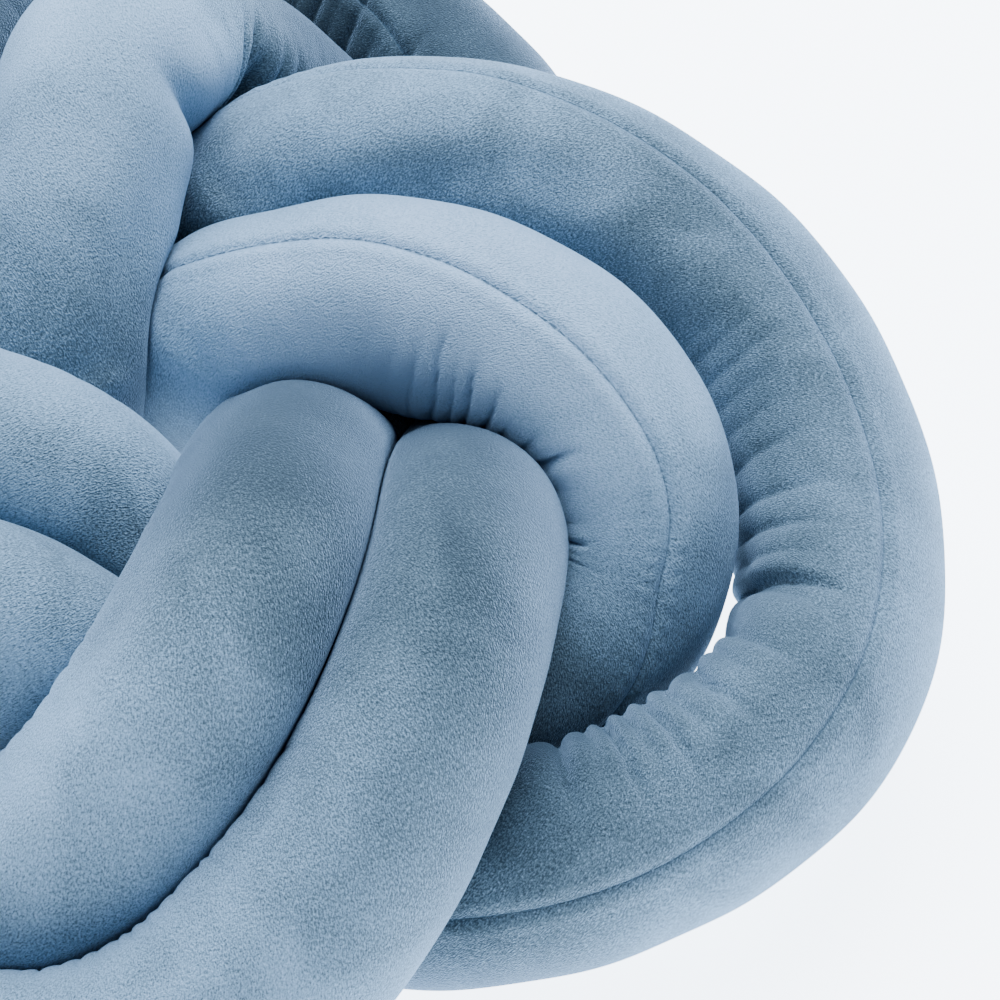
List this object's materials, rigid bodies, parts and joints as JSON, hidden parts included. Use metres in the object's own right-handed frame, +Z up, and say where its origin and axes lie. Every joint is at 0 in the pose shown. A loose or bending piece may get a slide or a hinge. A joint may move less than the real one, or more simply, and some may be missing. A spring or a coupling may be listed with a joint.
{
  "type": "knot cushion",
  "caption": "Soft knot cushion: stuffed velvet tubes in side-by-side pairs, woven over and under into a knot with rounded lobes and a small hole in the middle.",
  "frame": {"origin": "on the surface that the cushion lies on, under the middle of its bounding box", "axes": "+X to the right and +Y to the back of the lying cushion, +Z up through its face"},
  "size_m": [0.4644, 0.4752, 0.1304],
  "materials": {
    "velvet": "dusty blue short-pile velvet, matt with a soft sheen at the rims"
  },
  "bodies": {
    "root": {"wide_loop_outer": "velvet", "wide_loop_inner": "velvet", "deep_loop_outer": "velvet", "deep_loop_inner": "velvet"}
  },
  "joints": []
}
